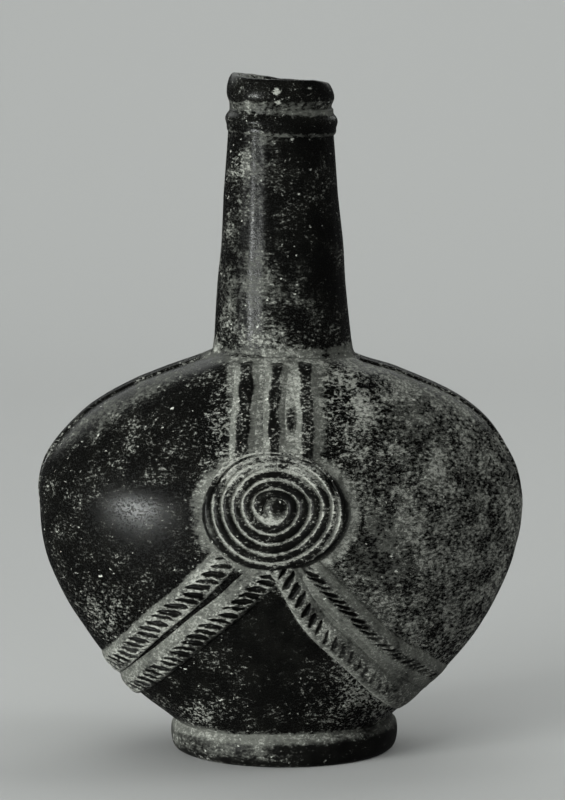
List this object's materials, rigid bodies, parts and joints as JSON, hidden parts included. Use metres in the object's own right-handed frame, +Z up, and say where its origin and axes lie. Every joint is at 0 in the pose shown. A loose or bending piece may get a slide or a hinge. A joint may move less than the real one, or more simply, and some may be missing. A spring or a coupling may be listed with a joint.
{
  "type": "pilgrim flask",
  "caption": "Flattened black earthenware flask on a ring foot, with a tall tapering neck, rolled lip, and applied spiral medallions, straps and notched clay cords on both faces.",
  "frame": {"origin": "centre of the foot's resting face, on the neck's axis", "axes": "+Z up along the neck's axis, -Y out of the decorated front face, +X to the right as seen from the front"},
  "size_m": [0.1636, 0.1066, 0.2232],
  "materials": {
    "burnished_blackware": "reduction-fired black earthenware, stone-burnished, dusted with pale lime deposit",
    "applied_relief_clay": "applied black clay, rubbed bright on its crests, pale lime left in its grooves",
    "foot_blackware": "black earthenware, lightly burnished, worn at its resting edge"
  },
  "bodies": {
    "root": {"front_shell": "burnished_blackware", "back_shell": "burnished_blackware", "foot_ring": "foot_blackware", "neck_tube": "burnished_blackware", "neck_luting_coil": "burnished_blackware", "neck_ring": "burnished_blackware", "mouth_lip": "burnished_blackware", "left_seam_band": "burnished_blackware", "right_seam_band": "burnished_blackware", "front_medallion_pad": "applied_relief_clay", "front_medallion_coil": "applied_relief_clay", "front_hanger_left_strap": "applied_relief_clay", "front_hanger_middle_strap": "applied_relief_clay", "front_hanger_right_strap": "applied_relief_clay", "front_hanger_pellet": "applied_relief_clay", "back_medallion_pad": "applied_relief_clay", "back_medallion_coil": "applied_relief_clay", "back_hanger_left_strap": "applied_relief_clay", "back_hanger_middle_strap": "applied_relief_clay", "back_hanger_right_strap": "applied_relief_clay", "back_hanger_pellet": "applied_relief_clay", "left_upper_cord": "applied_relief_clay", "left_lower_cord": "applied_relief_clay", "right_upper_cord": "applied_relief_clay", "right_lower_cord": "applied_relief_clay"}
  },
  "joints": []
}
